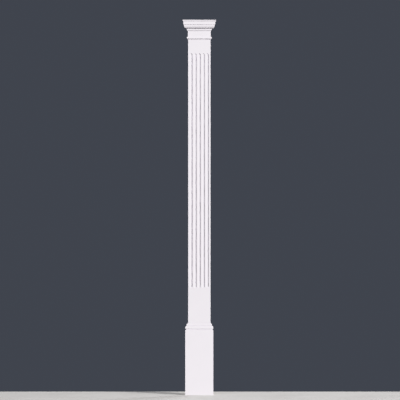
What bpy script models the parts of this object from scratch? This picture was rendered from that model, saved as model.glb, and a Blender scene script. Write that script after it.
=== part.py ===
"""A fluted pilaster for a wall, in three moulded pieces: a base block, a shaft and a capital.

The flat backs of the three pieces lie in the plane y = 0, against the wall. The front faces -Y, +X is to the
right as seen from the front, and +Z is up. The origin is at floor level on the back, on the middle line.
Each piece is a solid casting. The mouldings of the base block and the capital run round the front and both
sides with mitred corners, and die flat into the wall.
"""

import math

import bmesh
import bpy

# Hairline left where one piece butts against the next
JOINT_GAP = 0.0003

# Shaft: a flat board with the flutes sunk in its face
SHAFT_WIDTH = 0.124
SHAFT_THICKNESS = 0.018
SHAFT_LENGTH = 1.574
SHAFT_ARRIS_RADIUS = 0.001

# Flutes: as many as the width takes, each a shallow round channel with round ends
FLUTE_WIDTH = 0.0165
FLUTE_DEPTH = 0.0055
FILLET_BETWEEN_FLUTES = 0.0061
PLAIN_ABOVE_FLUTES = 0.077
PLAIN_BELOW_FLUTES = 0.194

# Base block, from the floor up. Projections are measured out from the faces of its top fillet
BASE_PROJECTION = 0.013
BASE_SIDE_LEDGE = 0.0025
BLOCK_HEIGHT = 0.361
BLOCK_ARRIS_RADIUS = 0.002
BASE_QUIRK_HEIGHT = 0.0055
BASE_QUIRK_DEPTH = 0.0055
TORUS_UNDERCUT = 0.003
TORUS_LOWER_HEIGHT = 0.003
TORUS_BAND_HEIGHT = 0.0025
TORUS_UPPER_HEIGHT = 0.011
TORUS_SETBACK = 0.0078
BASE_BEAD_HEIGHT = 0.012
BASE_BEAD_PROJECTION = 0.0035
BASE_BEAD_BULGE = 0.0023
BASE_FILLET_HEIGHT = 0.005

# Capital, from its foot up. Each overhang is measured out from the member below it
CAPITAL_FOOT_HEIGHT = 0.002
CAPITAL_FOOT_PROJECTION = 0.0033
ASTRAGAL_HEIGHT = 0.012
ASTRAGAL_BULGE = 0.006
NECK_HEIGHT = 0.029
NECK_PROJECTION = 0.001
BELL_HEIGHT = 0.0105
BELL_OVERHANG = 0.0059
BELL_FILLET_HEIGHT = 0.0055
OVOLO_HEIGHT = 0.0212
OVOLO_OVERHANG = 0.0165
CAPITAL_QUIRK_HEIGHT = 0.002
CAPITAL_QUIRK_DEPTH = 0.0026
CORONA_HEIGHT = 0.0138
CORONA_OVERHANG = 0.0028
FLARE_HEIGHT = 0.0086
FLARE_OVERHANG = 0.0048
CROWN_HEIGHT = 0.0024

# Flat lengths that stand for each round stretch
QUARTER_ROUND_STEPS = 8
HALF_ROUND_STEPS = 12
OGEE_STEPS = 8
ARRIS_STEPS = 4
CUTTER_SIDES = 40

# A face whose normal has a part this large along one axis lies flat to that axis
SQUARE_TO_AXIS = 0.999

# Points of the cutter's ball ends nearer than this share of its radius are one point
MERGE_SHARE = 1e-4

# Primed white foam
WHITE_FOAM_COLOUR = (0.855, 0.83, 0.875, 1.0)
WHITE_FOAM_ROUGHNESS = 0.62
SHARP_EDGE_ANGLE = math.radians(30)


def remove_all_objects():
    for thing in list(bpy.data.objects):
        bpy.data.objects.remove(thing, do_unlink=True)


def white_foam(name):
    material = bpy.data.materials.new(name)
    material.use_nodes = True
    material.diffuse_color = WHITE_FOAM_COLOUR
    shader = material.node_tree.nodes["Principled BSDF"]
    shader.inputs["Base Color"].default_value = WHITE_FOAM_COLOUR
    shader.inputs["Roughness"].default_value = WHITE_FOAM_ROUGHNESS
    shader.inputs["Metallic"].default_value = 0.0
    return material


# A moulding's profile is a list of points (projection, height) that the functions below make longer


def rise(profile, height):
    """Goes straight up."""
    projection, z = profile[-1]
    profile.append((projection, z + height))


def step_to(profile, projection):
    """Goes level, in or out."""
    profile.append((projection, profile[-1][1]))


def slope_to(profile, projection, height):
    """Goes straight to a new projection while it climbs."""
    profile.append((projection, profile[-1][1] + height))


def quarter_from_upright(profile, projection, height, steps=QUARTER_ROUND_STEPS):
    """A quarter ellipse that starts upright and ends level."""
    start, z = profile[-1]
    for step in range(1, steps + 1):
        turn = step / steps * math.pi / 2
        along = (projection - start) * (1 - math.cos(turn))
        profile.append((start + along, z + height * math.sin(turn)))


def quarter_from_level(profile, projection, height, steps=QUARTER_ROUND_STEPS):
    """A quarter ellipse that starts level and ends upright."""
    start, z = profile[-1]
    for step in range(1, steps + 1):
        turn = step / steps * math.pi / 2
        along = (projection - start) * math.sin(turn)
        profile.append((start + along, z + height * (1 - math.cos(turn))))


def half_round(profile, bulge, height):
    """A bead that stands out and comes back to where it began."""
    start, z = profile[-1]
    for step in range(1, HALF_ROUND_STEPS + 1):
        turn = step / HALF_ROUND_STEPS * math.pi
        profile.append((start + bulge * math.sin(turn), z + height * (1 - math.cos(turn)) / 2))


def ogee(profile, projection, height):
    """An S curve that starts and ends upright."""
    start, z = profile[-1]
    for step in range(1, OGEE_STEPS + 1):
        share = step / OGEE_STEPS
        along = (projection - start) * (1 - math.cos(share * math.pi)) / 2
        profile.append((start + along, z + height * share))


def base_profile():
    profile = [(BASE_PROJECTION, 0.0)]
    rise(profile, BLOCK_HEIGHT - BLOCK_ARRIS_RADIUS)
    quarter_from_upright(profile, BASE_PROJECTION - BLOCK_ARRIS_RADIUS, BLOCK_ARRIS_RADIUS, ARRIS_STEPS)
    step_to(profile, BASE_PROJECTION - BASE_QUIRK_DEPTH)
    rise(profile, BASE_QUIRK_HEIGHT)
    step_to(profile, BASE_PROJECTION - TORUS_UNDERCUT)
    quarter_from_level(profile, BASE_PROJECTION, TORUS_LOWER_HEIGHT)
    rise(profile, TORUS_BAND_HEIGHT)
    quarter_from_upright(profile, BASE_PROJECTION - TORUS_SETBACK, TORUS_UPPER_HEIGHT)
    step_to(profile, BASE_BEAD_PROJECTION)
    half_round(profile, BASE_BEAD_BULGE, BASE_BEAD_HEIGHT)
    step_to(profile, 0.0)
    rise(profile, BASE_FILLET_HEIGHT)
    return profile


def capital_profile():
    bell_projection = NECK_PROJECTION + BELL_OVERHANG
    ovolo_projection = bell_projection + OVOLO_OVERHANG
    corona_projection = ovolo_projection + CORONA_OVERHANG
    profile = [(CAPITAL_FOOT_PROJECTION, 0.0)]
    rise(profile, CAPITAL_FOOT_HEIGHT)
    step_to(profile, NECK_PROJECTION)
    half_round(profile, ASTRAGAL_BULGE, ASTRAGAL_HEIGHT)
    rise(profile, NECK_HEIGHT)
    ogee(profile, bell_projection, BELL_HEIGHT)
    rise(profile, BELL_FILLET_HEIGHT)
    quarter_from_level(profile, ovolo_projection, OVOLO_HEIGHT)
    step_to(profile, ovolo_projection - CAPITAL_QUIRK_DEPTH)
    rise(profile, CAPITAL_QUIRK_HEIGHT)
    step_to(profile, corona_projection)
    rise(profile, CORONA_HEIGHT)
    slope_to(profile, corona_projection + FLARE_OVERHANG, FLARE_HEIGHT)
    rise(profile, CROWN_HEIGHT)
    return profile


def finished_mesh(name, bm):
    """Turns the faces outwards and shades the round stretches smooth, with every true edge kept crisp."""
    bmesh.ops.recalc_face_normals(bm, faces=bm.faces)
    mesh = bpy.data.meshes.new(name)
    bm.to_mesh(mesh)
    bm.free()
    mesh.shade_smooth()
    mesh.set_sharp_from_angle(angle=SHARP_EDGE_ANGLE)
    return mesh


def moulded_mesh(name, half_width, depth, profile):
    """Runs a profile up the left side, the front and the right side, and closes the back, foot and top."""
    bm = bmesh.new()
    columns = []
    for side, reaches_front in ((-1, False), (-1, True), (1, True), (1, False)):
        column = []
        for projection, z in profile:
            y = -(depth + projection) if reaches_front else 0.0
            column.append(bm.verts.new((side * (half_width + projection), y, z)))
        columns.append(column)
    for left, right in zip(columns, columns[1:]):
        for low in range(len(profile) - 1):
            bm.faces.new((left[low], right[low], right[low + 1], left[low + 1]))
    bm.faces.new([column[0] for column in reversed(columns)])
    bm.faces.new([column[-1] for column in columns])
    bm.faces.new(columns[0] + columns[-1][::-1])
    return finished_mesh(name, bm)


def board_mesh(name):
    """The shaft before it is fluted: a board whose two front arrises are slightly rounded.

    Its flat faces are shaded flat, so that the flutes cut in them don't bend the light on the strips between.
    """
    bm = bmesh.new()
    half_width = SHAFT_WIDTH / 2
    corner_x = half_width - SHAFT_ARRIS_RADIUS
    corner_y = -SHAFT_THICKNESS + SHAFT_ARRIS_RADIUS
    outline = [(-half_width, 0.0)]
    for centre_x, first_turn in ((-corner_x, math.pi), (corner_x, math.pi * 3 / 2)):
        for step in range(ARRIS_STEPS + 1):
            turn = first_turn + step / ARRIS_STEPS * math.pi / 2
            x = centre_x + SHAFT_ARRIS_RADIUS * math.cos(turn)
            y = corner_y + SHAFT_ARRIS_RADIUS * math.sin(turn)
            outline.append((x, y))
    outline.append((half_width, 0.0))
    foot = bm.faces.new([bm.verts.new((x, y, 0.0)) for x, y in outline])
    extruded = bmesh.ops.extrude_face_region(bm, geom=[foot], use_keep_orig=True)
    top = [item for item in extruded["geom"] if isinstance(item, bmesh.types.BMVert)]
    bmesh.ops.translate(bm, verts=top, vec=(0.0, 0.0, SHAFT_LENGTH))
    mesh = finished_mesh(name, bm)
    for face in mesh.polygons:
        face.use_smooth = max(abs(part) for part in face.normal) < SQUARE_TO_AXIS
    return mesh


def flute_radius():
    """The radius of the cutter that leaves a channel of the flute's width and depth."""
    return ((FLUTE_WIDTH / 2) ** 2 + FLUTE_DEPTH**2) / (2 * FLUTE_DEPTH)


def flute_cutter_mesh(name):
    """A round bar with ball ends, turned about Z, that sweeps out one flute."""
    bm = bmesh.new()
    radius = flute_radius()
    lowest = PLAIN_BELOW_FLUTES + FLUTE_WIDTH / 2
    highest = SHAFT_LENGTH - PLAIN_ABOVE_FLUTES - FLUTE_WIDTH / 2
    quarter = CUTTER_SIDES // 4
    points = []
    for step in range(quarter + 1):
        turn = step / quarter * math.pi / 2
        points.append((radius * math.sin(turn), lowest - radius * math.cos(turn)))
    for step in range(quarter + 1):
        turn = step / quarter * math.pi / 2
        points.append((radius * math.cos(turn), highest + radius * math.sin(turn)))
    verts = [bm.verts.new((across, 0.0, z)) for across, z in points]
    edges = [bm.edges.new(pair) for pair in zip(verts, verts[1:])]
    bmesh.ops.spin(
        bm,
        geom=verts + edges,
        cent=(0, 0, 0),
        axis=(0, 0, 1),
        angle=2 * math.pi,
        steps=CUTTER_SIDES,
        use_merge=True,
    )
    bmesh.ops.remove_doubles(bm, verts=bm.verts, dist=radius * MERGE_SHARE)
    return finished_mesh(name, bm)


def flute_centres():
    """The middle of each flute across the shaft. The strips at the sides are no narrower than the fillets."""
    pitch = FLUTE_WIDTH + FILLET_BETWEEN_FLUTES
    count = int((SHAFT_WIDTH - FILLET_BETWEEN_FLUTES) / pitch)
    return [(index - (count - 1) / 2) * pitch for index in range(count)]


def add_object(name, mesh, parent, z=0.0):
    thing = bpy.data.objects.new(name, mesh)
    thing.parent = parent
    thing.location.z = z
    bpy.context.collection.objects.link(thing)
    return thing


def add_flute(shaft, mesh, number, x):
    """Sinks one flute in the shaft's face with a cutter that the finished part leaves out."""
    cutter = add_object(f"flute_cutter_{number}", mesh, shaft)
    cutter.location.x = x
    cutter.location.y = -SHAFT_THICKNESS + FLUTE_DEPTH - flute_radius()
    cutter.hide_render = True
    cutter.display_type = "WIRE"
    cut = shaft.modifiers.new(f"flute {number}", "BOOLEAN")
    cut.operation = "DIFFERENCE"
    cut.solver = "EXACT"
    cut.object = cutter


def add_base_block(parent):
    half_width = SHAFT_WIDTH / 2 + BASE_SIDE_LEDGE
    mesh = moulded_mesh("base_block", half_width, SHAFT_THICKNESS, base_profile())
    mesh.materials.append(white_foam("base_white_foam"))
    return add_object("base_block", mesh, parent)


def add_shaft(parent, z):
    mesh = board_mesh("shaft")
    mesh.materials.append(white_foam("shaft_white_foam"))
    shaft = add_object("shaft", mesh, parent, z)
    cutter_mesh = flute_cutter_mesh("flute_cutter")
    for number, x in enumerate(flute_centres(), start=1):
        add_flute(shaft, cutter_mesh, number, x)
    return shaft


def add_capital(parent, z):
    mesh = moulded_mesh("capital", SHAFT_WIDTH / 2, SHAFT_THICKNESS, capital_profile())
    mesh.materials.append(white_foam("capital_white_foam"))
    return add_object("capital", mesh, parent, z)


def main():
    remove_all_objects()
    pilaster = bpy.data.objects.new("pilaster", None)
    bpy.context.collection.objects.link(pilaster)
    shaft_foot = base_profile()[-1][1] + JOINT_GAP
    capital_foot = shaft_foot + SHAFT_LENGTH + JOINT_GAP
    add_base_block(pilaster)
    add_shaft(pilaster, shaft_foot)
    add_capital(pilaster, capital_foot)


main()
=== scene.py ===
"""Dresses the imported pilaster: a base block, a fluted shaft and a capital, all moulded in white primed foam.

The backs lie in the plane y = 0, the front faces -Y and +Z is up. Each piece is modelled over the CAD solid
that it stands for, with its true round stretches, eased edges and a finish made of nodes.
"""

import math

import bmesh
import bpy
from bpy.props import FloatProperty, PointerProperty, StringProperty
from bpy.types import Operator, Panel, PropertyGroup
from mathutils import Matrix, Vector


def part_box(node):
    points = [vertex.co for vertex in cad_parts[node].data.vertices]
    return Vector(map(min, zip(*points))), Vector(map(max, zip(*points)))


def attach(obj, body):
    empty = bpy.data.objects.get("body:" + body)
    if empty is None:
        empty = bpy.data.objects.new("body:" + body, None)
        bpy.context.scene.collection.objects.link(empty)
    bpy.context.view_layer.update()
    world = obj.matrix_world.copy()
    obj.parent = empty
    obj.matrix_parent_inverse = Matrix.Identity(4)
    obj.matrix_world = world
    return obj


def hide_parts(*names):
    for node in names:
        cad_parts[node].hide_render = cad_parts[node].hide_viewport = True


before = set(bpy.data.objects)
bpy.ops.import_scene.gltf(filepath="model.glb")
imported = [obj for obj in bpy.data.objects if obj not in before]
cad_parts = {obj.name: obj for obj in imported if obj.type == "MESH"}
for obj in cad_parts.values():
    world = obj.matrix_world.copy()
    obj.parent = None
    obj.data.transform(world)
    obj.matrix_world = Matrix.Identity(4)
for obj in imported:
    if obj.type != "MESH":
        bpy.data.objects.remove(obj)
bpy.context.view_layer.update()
BASE_LOW, BASE_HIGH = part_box("base_block")
SHAFT_LOW, SHAFT_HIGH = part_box("shaft")
CAPITAL_LOW, CAPITAL_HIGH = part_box("capital")

bl_info = {
    "name": "Fluted pilaster",
    "version": (1, 0, 0),
    "blender": (4, 5, 0),
    "location": "3D View > Sidebar > Pilaster",
    "description": "Models a fluted wall pilaster of primed foam and a plain studio round it",
    "category": "Object",
}

# A curve gets one flat step for each of these lengths along it, and never fewer than the number after it
CURVE_STEP = 0.0007
FEWEST_STEPS = 5

# Flat steps of the block's arris, the shaft's arrises and an eased edge
BLOCK_ARRIS_STEPS = 3
SHAFT_ARRIS_STEPS = 4
EASED_EDGE_STEPS = 2

# Sides of the round bar that cuts a flute
FLUTE_CUTTER_SIDES = 120

# Edges sharper than the first angle are eased, and faces that meet below the second are shaded as one
EASED_ANGLE = math.radians(25)
SMOOTH_ANGLE = math.radians(40)

# How strongly the large faces turn the shading of the eased edges beside them
FLAT_FACE_WEIGHT = 60

# Two points nearer than this count as one place
NEARLY = 1e-5

# A direction lies along an axis when its part along that axis is more than this share of it
SQUARE = 0.99

# The reference frame in pixels, and where the pilaster stands in it
FRAME_SIDE = 400
TOP_PIXEL = 19.8
FOOT_PIXEL = 395.0
MIDDLE_PIXEL = 199.3

# The camera's sensor in millimetres, and how many times its own distance it sees
SENSOR_WIDTH = 36.0
SIGHT_TIMES_DISTANCE = 4

# The floor is small and the key light far, so that little light comes up from below
FLOOR_LOW = (-1.2, -1.1, -0.02)
FLOOR_HIGH = (1.2, 0.3, 0)
FLOOR_CORNER = 0.05
FLOOR_CORNER_STEPS = 6
FLOOR_EASED_EDGE = 0.002

# The softboxes: where each stands and the length of its side, in metres
KEY_PLACE = (17.8, -16.0, 8.35)
KEY_SIDE = 6.6
FILL_PLACE = (-1.0, -1.3, 3.0)
FILL_TARGET = (0, 0, 1.7)
FILL_SIDE = 1.0
BACK_PLACE = (11.0, 12.0, 3.0)
BACK_SIDE = 5.0


def length(name, description, default):
    """A size in metres that a user may change."""
    return FloatProperty(
        name=name, description=description, default=default, unit="LENGTH", subtype="DISTANCE"
    )


def colour(name, description, default):
    """An sRGB colour, in hex."""
    return StringProperty(name=name, description=description, default=default)


def strength(name, description, default):
    """How strong a light is."""
    return FloatProperty(name=name, description=description, default=default, min=0)


class BaseBlockSizes(PropertyGroup):
    projection: length("Projection", "How far the block stands out from its top fillet", 0.013)
    block_height: length("Block height", "Height of the plain block", 0.361)
    arris: length("Block arris", "Radius of the block's upper edge", 0.002)
    quirk_height: length("Quirk height", "Height of the groove over the block", 0.0055)
    quirk_depth: length("Quirk depth", "Depth of the groove over the block", 0.0055)
    torus_undercut: length("Torus undercut", "How far the torus curls in at its foot", 0.003)
    torus_lower: length("Torus lower curve", "Height of the curve at the foot of the torus", 0.003)
    torus_band: length("Torus band", "Height of the upright part of the torus", 0.0025)
    torus_upper: length("Torus upper curve", "Height of the curve over the torus", 0.011)
    torus_setback: length("Torus setback", "How far the upper curve draws in", 0.0078)
    bead_height: length("Bead height", "Height of the bead over the torus", 0.012)
    bead_projection: length("Bead projection", "Where the bead starts, out from the top fillet", 0.0035)
    bead_bulge: length("Bead bulge", "How far the bead swells", 0.0023)


class ShaftSizes(PropertyGroup):
    arris: length("Front arris", "Radius of the two front edges", 0.001)
    flute_width: length("Flute width", "Width of each channel", 0.0165)
    flute_depth: length("Flute depth", "Depth of each channel at its middle", 0.0055)
    fillet: length("Fillet", "Width of the flat strip between two flutes", 0.0061)
    plain_above: length("Plain above", "From the top of the flutes to the top of the shaft", 0.077)
    plain_below: length("Plain below", "From the foot of the shaft to the foot of the flutes", 0.194)


class CapitalSizes(PropertyGroup):
    foot_height: length("Foot height", "Height of the strip under the astragal", 0.002)
    foot_projection: length("Foot projection", "How far the foot stands out from the shaft", 0.0033)
    neck_projection: length("Neck projection", "How far the neck stands out from the shaft", 0.001)
    neck_height: length("Neck height", "Height of the plain neck", 0.029)
    astragal_height: length("Astragal height", "Height of the bead under the neck", 0.012)
    astragal_bulge: length("Astragal bulge", "How far the bead stands out from the neck", 0.006)
    bell_height: length("Bell height", "Height of the S curve over the neck", 0.0105)
    bell_overhang: length("Bell overhang", "How far the S curve flares", 0.0059)
    bell_fillet: length("Bell fillet", "Height of the flat strip over the S curve", 0.0055)
    ovolo_height: length("Ovolo height", "Height of the quarter round", 0.0212)
    ovolo_overhang: length("Ovolo overhang", "How far the quarter round stands out", 0.0165)
    quirk_height: length("Quirk height", "Height of the groove under the corona", 0.002)
    quirk_depth: length("Quirk depth", "Depth of the groove under the corona", 0.0026)
    corona_height: length("Corona height", "Height of the flat band", 0.0138)
    corona_overhang: length("Corona overhang", "How far the flat band stands past the quarter round", 0.0028)
    flare_height: length("Flare height", "Height of the slope under the top edge", 0.0086)
    flare_overhang: length("Flare overhang", "How far the slope stands out", 0.0048)


class FoamFinish(PropertyGroup):
    eased_edge: length("Eased edge", "Width of the softened edge that the mould leaves", 0.0004)
    primer: colour("Primer", "Colour of the primer", "E0DDE3")
    thin_primer: colour("Thin primer", "Colour of the primer where its coat is thin", "DDDAE0")
    patch: length("Patch", "Spacing of the faint patches in the primer and the bare foam", 0.06)
    ripple: length("Ripple", "Spacing of the sprayed primer's ripple", 0.002)
    ripple_depth: length("Ripple depth", "Depth of the sprayed primer's ripple", 0.00018)
    foam: colour("Bare foam", "Colour of the bare foam at the back", "E6DFCC")
    # The pore colour is painted shade: the foam is one cream, and this darker colour stands in for the shade
    # inside its open cells
    pore_shade: colour("Foam pore", "Colour in the pores of the bare foam", "C9BFA6")
    pore_spacing: length("Pore spacing", "Spacing of the pores in the bare foam", 0.0025)
    pore_depth: length("Pore depth", "Depth of the pores in the bare foam", 0.00015)


class StudioSettings(PropertyGroup):
    floor: colour("Floor", "Colour of the painted floor", "D5D4D2")
    floor_wear: colour("Floor wear", "Colour of the floor's faint scuffed patches", "CDCCCA")
    surround: colour("Surround", "Plain colour seen behind the pilaster", "55585F")
    ambient: colour("Ambient light", "Colour of the even light", "F4F3F8")
    ambient_above: strength("Light from above", "Strength of the soft light overhead", 0.29)
    ambient_below: strength("Light from below", "Strength of the soft light underfoot", 0.06)
    key_power: strength("Key power", "Power of the far softbox at the right, in watts", 9800)
    fill_power: strength("Fill power", "Power of the near softbox over the capital, in watts", 13)
    back_power: strength("Back power", "Power of the far softbox behind, in watts", 1800)
    lens: FloatProperty(name="Lens", description="Focal length in millimetres", default=300.0)


def linear(hex_colour):
    """An sRGB hex colour as linear red, green, blue and alpha."""
    channels = [int(hex_colour[start : start + 2], 16) / 255 for start in (0, 2, 4)]
    return [c / 12.92 if c <= 0.04045 else ((c + 0.055) / 1.055) ** 2.4 for c in channels] + [1.0]


def add_node(tree, kind, inputs, **settings):
    """Adds a node with its settings. An input, by name or number, gets a value or a link from an output."""
    node = tree.nodes.new(kind)
    for name, value in settings.items():
        setattr(node, name, value)
    for place, value in inputs.items():
        if isinstance(value, bpy.types.NodeSocket):
            tree.links.new(value, node.inputs[place])
        else:
            node.inputs[place].default_value = value
    return node


def cleared_tree(owner):
    """The empty node tree of a material or world."""
    owner.use_nodes = True
    owner.node_tree.nodes.clear()
    return owner.node_tree


# Numbers of the Mix node's colour inputs and output
MIX_A = 6
MIX_B = 7
MIX_RESULT = 2


def primed_foam(finish):
    """Polyurethane foam moulded to a hard skin and sprayed with matt white primer.

    The eye sees an even, chalky white with a soft gloss at low angles only, and the faintest clouding where
    the coat is thin. Real primer ripples about every millimetre, less than a tenth of one deep. It is drawn
    twice as coarse and deeper, so that a close look shows it.
    """
    material = bpy.data.materials.new("moulded polyurethane with matt white primer")
    tree = cleared_tree(material)
    place = add_node(tree, "ShaderNodeTexCoord", {}).outputs["Object"]
    cloud = add_node(
        tree, "ShaderNodeTexNoise", {"Vector": place, "Scale": 1 / finish.patch, "Detail": 3.0}
    )
    coat = add_node(
        tree, "ShaderNodeMapRange", {"Value": cloud.outputs["Fac"], "From Min": 0.35, "From Max": 0.65}
    )
    tone = add_node(
        tree,
        "ShaderNodeMix",
        {"Factor": coat.outputs["Result"], MIX_A: linear(finish.thin_primer), MIX_B: linear(finish.primer)},
        data_type="RGBA",
    )
    ripple = add_node(
        tree, "ShaderNodeTexNoise", {"Vector": place, "Scale": 1 / finish.ripple, "Detail": 2.0}
    )
    sheen = add_node(
        tree,
        "ShaderNodeMapRange",
        {"Value": ripple.outputs["Fac"], "From Min": 0.3, "From Max": 0.7, "To Min": 0.54, "To Max": 0.66},
    )
    relief = add_node(
        tree, "ShaderNodeBump", {"Height": ripple.outputs["Fac"], "Distance": finish.ripple_depth}
    )
    shader = add_node(
        tree,
        "ShaderNodeBsdfPrincipled",
        {
            "Base Color": tone.outputs[MIX_RESULT],
            "Roughness": sheen.outputs["Result"],
            "Normal": relief.outputs["Normal"],
            "IOR": 1.48,
        },
    )
    add_node(tree, "ShaderNodeOutputMaterial", {"Surface": shader.outputs["BSDF"]})
    return material


def bare_foam(finish):
    """The same foam where it is sawn or sanded: no skin, no primer.

    The eye sees a dull cream with dark open pores. Their darkness is painted shade: a darker colour laid where
    the bump sinks the cells in. Real cells are near 0.3 mm. They are drawn coarser, so that a close look shows
    them.
    """
    material = bpy.data.materials.new("sanded polyurethane foam")
    tree = cleared_tree(material)
    place = add_node(tree, "ShaderNodeTexCoord", {}).outputs["Object"]
    cells = add_node(tree, "ShaderNodeTexVoronoi", {"Vector": place, "Scale": 1 / finish.pore_spacing})
    # The open cells set both the pits of the bump and where the painted shade is laid
    pore_relief_and_shade = add_node(
        tree,
        "ShaderNodeMapRange",
        {"Value": cells.outputs["Distance"], "From Min": 0.12, "From Max": 0.42},
    )
    cloud = add_node(
        tree, "ShaderNodeTexNoise", {"Vector": place, "Scale": 1 / finish.patch, "Detail": 4.0}
    )
    # How dark the painted shade in the pores is, changing from patch to patch
    depth = add_node(
        tree,
        "ShaderNodeMapRange",
        {"Value": cloud.outputs["Fac"], "From Min": 0.3, "From Max": 0.7, "To Min": 0.55},
    )
    # The share of painted shade in each pore
    share = add_node(
        tree,
        "ShaderNodeMath",
        {0: pore_relief_and_shade.outputs["Result"], 1: depth.outputs["Result"]},
        operation="MULTIPLY",
    )
    # Painted shade: the darker pore colour is mixed in where the cells sink in
    tone = add_node(
        tree,
        "ShaderNodeMix",
        {"Factor": share.outputs["Value"], MIX_A: linear(finish.pore_shade), MIX_B: linear(finish.foam)},
        data_type="RGBA",
    )
    relief = add_node(
        tree, "ShaderNodeBump", {"Height": pore_relief_and_shade.outputs["Result"], "Distance": finish.pore_depth}
    )
    shader = add_node(
        tree,
        "ShaderNodeBsdfPrincipled",
        {
            "Base Color": tone.outputs[MIX_RESULT],
            "Roughness": 0.92,
            "Normal": relief.outputs["Normal"],
            "IOR": 1.45,
        },
    )
    add_node(tree, "ShaderNodeOutputMaterial", {"Surface": shader.outputs["BSDF"]})
    return material


def painted_floor(studio):
    """A floor board rolled with pale matt paint, with a few faint scuffed patches."""
    material = bpy.data.materials.new("pale matt floor paint")
    tree = cleared_tree(material)
    place = add_node(tree, "ShaderNodeTexCoord", {}).outputs["Object"]
    cloud = add_node(tree, "ShaderNodeTexNoise", {"Vector": place, "Scale": 3.0, "Detail": 4.0})
    scuff = add_node(
        tree, "ShaderNodeMapRange", {"Value": cloud.outputs["Fac"], "From Min": 0.4, "From Max": 0.7}
    )
    tone = add_node(
        tree,
        "ShaderNodeMix",
        {"Factor": scuff.outputs["Result"], MIX_A: linear(studio.floor), MIX_B: linear(studio.floor_wear)},
        data_type="RGBA",
    )
    shader = add_node(
        tree, "ShaderNodeBsdfPrincipled", {"Base Color": tone.outputs[MIX_RESULT], "Roughness": 0.8}
    )
    add_node(tree, "ShaderNodeOutputMaterial", {"Surface": shader.outputs["BSDF"]})
    return material


def block_between(name, low, high):
    """Adds a cube, gives it these two corners, and leaves it as the only thing selected, at the origin."""
    bpy.ops.object.select_all(action="DESELECT")
    middle = [(start + end) / 2 for start, end in zip(low, high)]
    sides = [end - start for start, end in zip(low, high)]
    bpy.ops.mesh.primitive_cube_add(size=1, location=middle, scale=sides)
    block = bpy.context.object
    block.name = name
    block.data.name = name
    bpy.ops.object.transform_apply(location=True, rotation=True, scale=True)
    return block


def select(kind, wanted):
    """In edit mode, selects the faces or the edges that pass a test, and nothing else."""
    bpy.ops.mesh.select_mode(type=kind)
    bpy.ops.mesh.select_all(action="DESELECT")
    mesh = bmesh.from_edit_mesh(bpy.context.object.data)
    for item in mesh.faces if kind == "FACE" else mesh.edges:
        if wanted(item):
            item.select_set(True)
    mesh.select_flush_mode()
    bmesh.update_edit_mesh(bpy.context.object.data)


def apply_modifier(piece, kind, **settings):
    """Adds a modifier with its settings and applies it."""
    modifier = piece.modifiers.new(kind.lower(), kind)
    for name, value in settings.items():
        setattr(modifier, name, value)
    bpy.ops.object.modifier_apply(modifier=modifier.name)


def steps_along(*sides):
    """How many flat steps draw a curve that fills a box with these sides."""
    return max(FEWEST_STEPS, round(math.hypot(*sides) / CURVE_STEP))


class GrowingBlock:
    """A block against the wall that grows upwards from its top face, one member of its profile at a time.

    A projection is how far a member stands out, alike on the front and both sides, from the plain section.
    """

    def __init__(self, name, half_width, depth, foot, projection, height):
        self.half_width = half_width
        self.depth = depth
        self.projection = projection
        self.top = foot + height
        left = -half_width - projection
        front = -depth - projection
        self.piece = block_between(name, (left, front, foot), (-left, 0, self.top))
        bpy.ops.object.mode_set(mode="EDIT")
        select("FACE", lambda face: face.normal.z > SQUARE)

    def slope_to(self, projection, height):
        """Pulls the top face up, and resizes it about the middle of its back edge."""
        bpy.ops.mesh.extrude_region_move(TRANSFORM_OT_translate={"value": (0, 0, height)})
        self.top += height
        wider = (self.half_width + projection) / (self.half_width + self.projection)
        deeper = (self.depth + projection) / (self.depth + self.projection)
        bpy.ops.transform.resize(value=(wider, deeper, 1), center_override=(0, 0, self.top))
        self.projection = projection

    def step_to(self, projection):
        """Goes level, in or out."""
        self.slope_to(projection, 0)

    def rise(self, height):
        """Goes straight up."""
        self.slope_to(self.projection, height)

    def follow(self, steps, outwards, upwards):
        """Draws a curve. The functions say how far out and up it is when it is a share of its way along."""
        start = self.projection
        foot = self.top
        for step in range(1, steps + 1):
            share = step / steps
            self.slope_to(start + outwards(share), foot + upwards(share) - self.top)

    def quarter_from_upright(self, projection, height, steps=0):
        """A quarter round that starts upright and ends level. Without steps, its length sets how many."""
        reach = projection - self.projection
        self.follow(
            steps or steps_along(reach, height),
            lambda share: reach * (1 - math.cos(share * math.pi / 2)),
            lambda share: height * math.sin(share * math.pi / 2),
        )

    def quarter_from_level(self, projection, height):
        """A quarter round that starts level and ends upright."""
        reach = projection - self.projection
        self.follow(
            steps_along(reach, height),
            lambda share: reach * math.sin(share * math.pi / 2),
            lambda share: height * (1 - math.cos(share * math.pi / 2)),
        )

    def half_round(self, bulge, height):
        """A bead that stands out and comes back to where it began."""
        self.follow(
            2 * steps_along(bulge, height / 2),
            lambda share: bulge * math.sin(share * math.pi),
            lambda share: height * (1 - math.cos(share * math.pi)) / 2,
        )

    def ogee(self, projection, height):
        """An S curve that starts and ends upright."""
        reach = projection - self.projection
        self.follow(
            steps_along(reach, height),
            lambda share: reach * (1 - math.cos(share * math.pi)) / 2,
            lambda share: height * share,
        )

    def finish(self, eased_edge):
        """Closes the back with one flat face and eases the edges."""
        select("FACE", lambda face: all(abs(vert.co.y) < NEARLY for vert in face.verts))
        bpy.ops.mesh.delete(type="FACE")
        select("EDGE", lambda edge: edge.is_boundary)
        bpy.ops.mesh.edge_face_add()
        bpy.ops.mesh.select_all(action="SELECT")
        bpy.ops.mesh.remove_doubles(threshold=NEARLY)
        bpy.ops.mesh.normals_make_consistent(inside=False)
        bpy.ops.object.mode_set(mode="OBJECT")
        ease_and_smooth(self.piece, eased_edge)
        return self.piece


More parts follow.
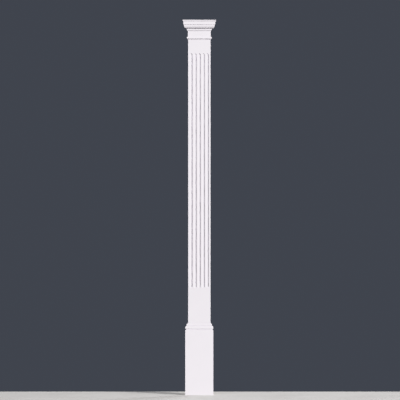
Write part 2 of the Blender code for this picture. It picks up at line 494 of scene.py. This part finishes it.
def ease_and_smooth(piece, eased_edge):
    """Softens the sharp edges a little, then shades the round stretches smooth and keeps the flats flat."""
    apply_modifier(
        piece,
        "BEVEL",
        width=eased_edge,
        segments=EASED_EDGE_STEPS,
        limit_method="ANGLE",
        angle_limit=EASED_ANGLE,
        miter_outer="MITER_SHARP",
    )
    bpy.ops.object.shade_smooth_by_angle(angle=SMOOTH_ANGLE)
    apply_modifier(piece, "WEIGHTED_NORMAL", mode="FACE_AREA", weight=FLAT_FACE_WEIGHT, keep_sharp=True)


def dress(piece, node, finish, is_bare):
    """Gives a piece its two finishes, hides its CAD solid so that the piece shows in its place, and hangs it
    under the root body.
    """
    piece.data.materials.append(primed_foam(finish))
    piece.data.materials.append(bare_foam(finish))
    for face in piece.data.polygons:
        face.material_index = 1 if is_bare(face) else 0
    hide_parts(node)
    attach(piece, "root")


def is_back(face):
    """Says whether a face lies against the wall."""
    return face.normal.y > SQUARE and face.center.y > -NEARLY


def is_back_or_end(face):
    """Says whether a face of the shaft lies against the wall or is one of its sawn ends."""
    return is_back(face) or abs(face.normal.z) > SQUARE


def is_upright(edge):
    """Says whether an edge stands straight up."""
    along = edge.verts[1].co - edge.verts[0].co
    return abs(along.z) > SQUARE * along.length


def is_front_arris(edge):
    """Says whether an edge is one of the board's two upright front edges."""
    return is_upright(edge) and all(abs(vert.co.y - SHAFT_LOW.y) < NEARLY for vert in edge.verts)


class PILASTER_OT_base_block(Operator):
    """Grow the base block and the small mouldings round its top from a cube"""

    bl_idname = "pilaster.base_block"
    bl_label = "Base block"

    def execute(self, context):
        sizes = context.scene.pilaster_base_block
        finish = context.scene.pilaster_finish
        half_width = BASE_HIGH.x - sizes.projection
        depth = -BASE_LOW.y - sizes.projection
        plain = sizes.block_height - sizes.arris
        block = GrowingBlock("primed_base_block", half_width, depth, BASE_LOW.z, sizes.projection, plain)
        block.quarter_from_upright(sizes.projection - sizes.arris, sizes.arris, BLOCK_ARRIS_STEPS)
        block.step_to(sizes.projection - sizes.quirk_depth)
        block.rise(sizes.quirk_height)
        block.step_to(sizes.projection - sizes.torus_undercut)
        block.quarter_from_level(sizes.projection, sizes.torus_lower)
        block.rise(sizes.torus_band)
        block.quarter_from_upright(sizes.projection - sizes.torus_setback, sizes.torus_upper)
        block.step_to(sizes.bead_projection)
        block.half_round(sizes.bead_bulge, sizes.bead_height)
        block.step_to(0)
        block.rise(BASE_HIGH.z - block.top)
        dress(block.finish(finish.eased_edge), "base_block", finish, is_back)
        return {"FINISHED"}


class PILASTER_OT_shaft(Operator):
    """Round the front edges of a board and sink the flutes in its face with round bars"""

    bl_idname = "pilaster.shaft"
    bl_label = "Shaft"

    def execute(self, context):
        sizes = context.scene.pilaster_shaft
        finish = context.scene.pilaster_finish
        board = block_between("primed_shaft", SHAFT_LOW, SHAFT_HIGH)
        bpy.ops.object.mode_set(mode="EDIT")
        select("EDGE", is_front_arris)
        bpy.ops.mesh.bevel(offset=sizes.arris, segments=SHAFT_ARRIS_STEPS, affect="EDGES")
        bpy.ops.object.mode_set(mode="OBJECT")
        cutters = flute_cutters(sizes)
        bpy.ops.object.select_all(action="DESELECT")
        context.view_layer.objects.active = board
        board.select_set(True)
        apply_modifier(board, "BOOLEAN", operation="DIFFERENCE", solver="EXACT", object=cutters)
        bpy.data.objects.remove(cutters, do_unlink=True)
        ease_and_smooth(board, finish.eased_edge)
        dress(board, "shaft", finish, is_back_or_end)
        return {"FINISHED"}


def flute_cutters(sizes):
    """Makes one round bar with ball ends, copies it for each flute, and joins the copies."""
    radius = ((sizes.flute_width / 2) ** 2 + sizes.flute_depth**2) / (2 * sizes.flute_depth)
    lowest = SHAFT_LOW.z + sizes.plain_below + sizes.flute_width / 2
    highest = SHAFT_HIGH.z - sizes.plain_above - sizes.flute_width / 2
    pitch = sizes.flute_width + sizes.fillet
    count = int((SHAFT_HIGH.x - SHAFT_LOW.x - sizes.fillet) / pitch)
    first = Vector((-pitch * (count - 1) / 2, SHAFT_LOW.y + sizes.flute_depth - radius, lowest))
    bpy.ops.object.select_all(action="DESELECT")
    bpy.ops.mesh.primitive_uv_sphere_add(
        segments=FLUTE_CUTTER_SIDES, ring_count=FLUTE_CUTTER_SIDES // 2, radius=radius, location=first
    )
    cutter = bpy.context.object
    bpy.ops.object.transform_apply(location=True, rotation=True, scale=True)
    bpy.ops.object.mode_set(mode="EDIT")
    select("FACE", lambda face: face.calc_center_median().z > lowest)
    bpy.ops.mesh.extrude_region_move(TRANSFORM_OT_translate={"value": (0, 0, highest - lowest)})
    bpy.ops.mesh.select_all(action="SELECT")
    bpy.ops.mesh.normals_make_consistent(inside=False)
    bpy.ops.object.mode_set(mode="OBJECT")
    bars = [cutter]
    for number in range(1, count):
        bpy.ops.object.duplicate_move(TRANSFORM_OT_translate={"value": (pitch, 0, 0)})
        bars.append(bpy.context.object)
    for bar in bars:
        bar.select_set(True)
    bpy.ops.object.join()
    bpy.ops.object.transform_apply(location=True, rotation=True, scale=True)
    return bpy.context.object


class PILASTER_OT_capital(Operator):
    """Grow the capital's neck and mouldings from a thin block"""

    bl_idname = "pilaster.capital"
    bl_label = "Capital"

    def execute(self, context):
        sizes = context.scene.pilaster_capital
        finish = context.scene.pilaster_finish
        bell = sizes.neck_projection + sizes.bell_overhang
        ovolo = bell + sizes.ovolo_overhang
        corona = ovolo + sizes.corona_overhang
        foot = CAPITAL_LOW.z
        plain = (SHAFT_HIGH.x, -SHAFT_LOW.y)
        block = GrowingBlock("primed_capital", *plain, foot, sizes.foot_projection, sizes.foot_height)
        block.step_to(sizes.neck_projection)
        block.half_round(sizes.astragal_bulge, sizes.astragal_height)
        block.rise(sizes.neck_height)
        block.ogee(bell, sizes.bell_height)
        block.rise(sizes.bell_fillet)
        block.quarter_from_level(ovolo, sizes.ovolo_height)
        block.step_to(ovolo - sizes.quirk_depth)
        block.rise(sizes.quirk_height)
        block.step_to(corona)
        block.rise(sizes.corona_height)
        block.slope_to(corona + sizes.flare_overhang, sizes.flare_height)
        block.rise(CAPITAL_HIGH.z - block.top)
        dress(block.finish(finish.eased_edge), "capital", finish, is_back)
        return {"FINISHED"}


def aim(thing, target):
    """Turns a light or camera to look at a point."""
    thing.rotation_euler = (Vector(target) - thing.location).to_track_quat("-Z", "Y").to_euler()


def add_softbox(name, location, target, power, side, hex_colour):
    """Adds a square area light that the camera doesn't see."""
    bpy.ops.object.select_all(action="DESELECT")
    bpy.ops.object.light_add(type="AREA", location=location)
    lamp = bpy.context.object
    lamp.name = name
    lamp.data.size = side
    lamp.data.energy = power
    lamp.data.color = linear(hex_colour)[:3]
    lamp.visible_camera = False
    aim(lamp, target)


def add_surround(studio):
    """Lights the room evenly, and shows the camera one plain colour behind the piece."""
    world = bpy.data.worlds.new("plain studio")
    bpy.context.scene.world = world
    tree = cleared_tree(world)
    direction = add_node(tree, "ShaderNodeTexCoord", {}).outputs["Generated"]
    upward = add_node(tree, "ShaderNodeSeparateXYZ", {"Vector": direction}).outputs["Z"]
    brightness = add_node(
        tree,
        "ShaderNodeMapRange",
        {
            "Value": upward,
            "From Min": -0.5,
            "From Max": 0.5,
            "To Min": studio.ambient_below,
            "To Max": studio.ambient_above,
        },
    )
    even = add_node(
        tree,
        "ShaderNodeBackground",
        {"Color": linear(studio.ambient), "Strength": brightness.outputs["Result"]},
    )
    plain = add_node(tree, "ShaderNodeBackground", {"Color": linear(studio.surround)})
    seen = add_node(tree, "ShaderNodeLightPath", {}).outputs["Is Camera Ray"]
    both = add_node(
        tree,
        "ShaderNodeMixShader",
        {0: seen, 1: even.outputs["Background"], 2: plain.outputs["Background"]},
    )
    add_node(tree, "ShaderNodeOutputWorld", {"Surface": both.outputs["Shader"]})


def add_camera(studio):
    """Sets a long level lens straight in front, so that the top and foot fall on their rows of the frame."""
    bpy.ops.object.select_all(action="DESELECT")
    bpy.ops.object.camera_add()
    camera = bpy.context.object
    camera.name = "front camera"
    camera.data.lens = studio.lens
    camera.data.sensor_width = SENSOR_WIDTH
    pixels_per_slope = studio.lens / SENSOR_WIDTH * FRAME_SIDE
    top_is_nearer = (BASE_LOW.y - CAPITAL_LOW.y) * (FRAME_SIDE / 2 - TOP_PIXEL)
    height = CAPITAL_HIGH.z - BASE_LOW.z
    away = (height * pixels_per_slope + top_is_nearer) / (FOOT_PIXEL - TOP_PIXEL)
    aside = (FRAME_SIDE / 2 - MIDDLE_PIXEL) * away / pixels_per_slope
    above = BASE_LOW.z + (FOOT_PIXEL - FRAME_SIDE / 2) * away / pixels_per_slope
    camera.location = (aside, BASE_LOW.y - away, above)
    aim(camera, (aside, 0, above))
    camera.data.clip_end = SIGHT_TIMES_DISTANCE * away
    bpy.context.scene.camera = camera


class PILASTER_OT_studio(Operator):
    """Lay the pale floor and set the lights and the camera"""

    bl_idname = "pilaster.studio"
    bl_label = "Studio"

    def execute(self, context):
        studio = context.scene.pilaster_studio
        floor = block_between("studio_floor", FLOOR_LOW, FLOOR_HIGH)
        bpy.ops.object.mode_set(mode="EDIT")
        select("EDGE", is_upright)
        bpy.ops.mesh.bevel(offset=FLOOR_CORNER, segments=FLOOR_CORNER_STEPS, affect="EDGES")
        bpy.ops.object.mode_set(mode="OBJECT")
        ease_and_smooth(floor, FLOOR_EASED_EDGE)
        floor.data.materials.append(painted_floor(studio))
        add_surround(studio)
        middle = (0, 0, (BASE_LOW.z + CAPITAL_HIGH.z) / 2)
        add_softbox("key softbox", KEY_PLACE, middle, studio.key_power, KEY_SIDE, "FFFDFB")
        add_softbox("fill softbox", FILL_PLACE, FILL_TARGET, studio.fill_power, FILL_SIDE, "FFFFFF")
        add_softbox("back softbox", BACK_PLACE, middle, studio.back_power, BACK_SIDE, "FBFCFF")
        add_camera(studio)
        context.scene.view_settings.view_transform = "Khronos PBR Neutral"
        return {"FINISHED"}


class PILASTER_PT_panel(Panel):
    """Lists the operators and all their settings in the sidebar"""

    bl_idname = "PILASTER_PT_panel"
    bl_label = "Fluted pilaster"
    bl_space_type = "VIEW_3D"
    bl_region_type = "UI"
    bl_category = "Pilaster"

    def draw(self, context):
        for operator in OPERATORS:
            self.layout.operator(operator.bl_idname)
        for name in SETTINGS:
            group = getattr(context.scene, name)
            box = self.layout.box()
            for key in group.bl_rna.properties.keys():
                if key not in ("rna_type", "name"):
                    box.prop(group, key)


SETTINGS = {
    "pilaster_base_block": BaseBlockSizes,
    "pilaster_shaft": ShaftSizes,
    "pilaster_capital": CapitalSizes,
    "pilaster_finish": FoamFinish,
    "pilaster_studio": StudioSettings,
}
OPERATORS = (PILASTER_OT_studio, PILASTER_OT_base_block, PILASTER_OT_shaft, PILASTER_OT_capital)


def register():
    for name, group in SETTINGS.items():
        bpy.utils.register_class(group)
        setattr(bpy.types.Scene, name, PointerProperty(type=group))
    for kind in (*OPERATORS, PILASTER_PT_panel):
        bpy.utils.register_class(kind)


def unregister():
    for kind in (PILASTER_PT_panel, *reversed(OPERATORS)):
        bpy.utils.unregister_class(kind)
    for name, group in reversed(SETTINGS.items()):
        delattr(bpy.types.Scene, name)
        bpy.utils.unregister_class(group)


def main():
    register()
    bpy.ops.pilaster.studio()
    bpy.ops.pilaster.base_block()
    bpy.ops.pilaster.shaft()
    bpy.ops.pilaster.capital()


if __name__ == "__main__":
    main()
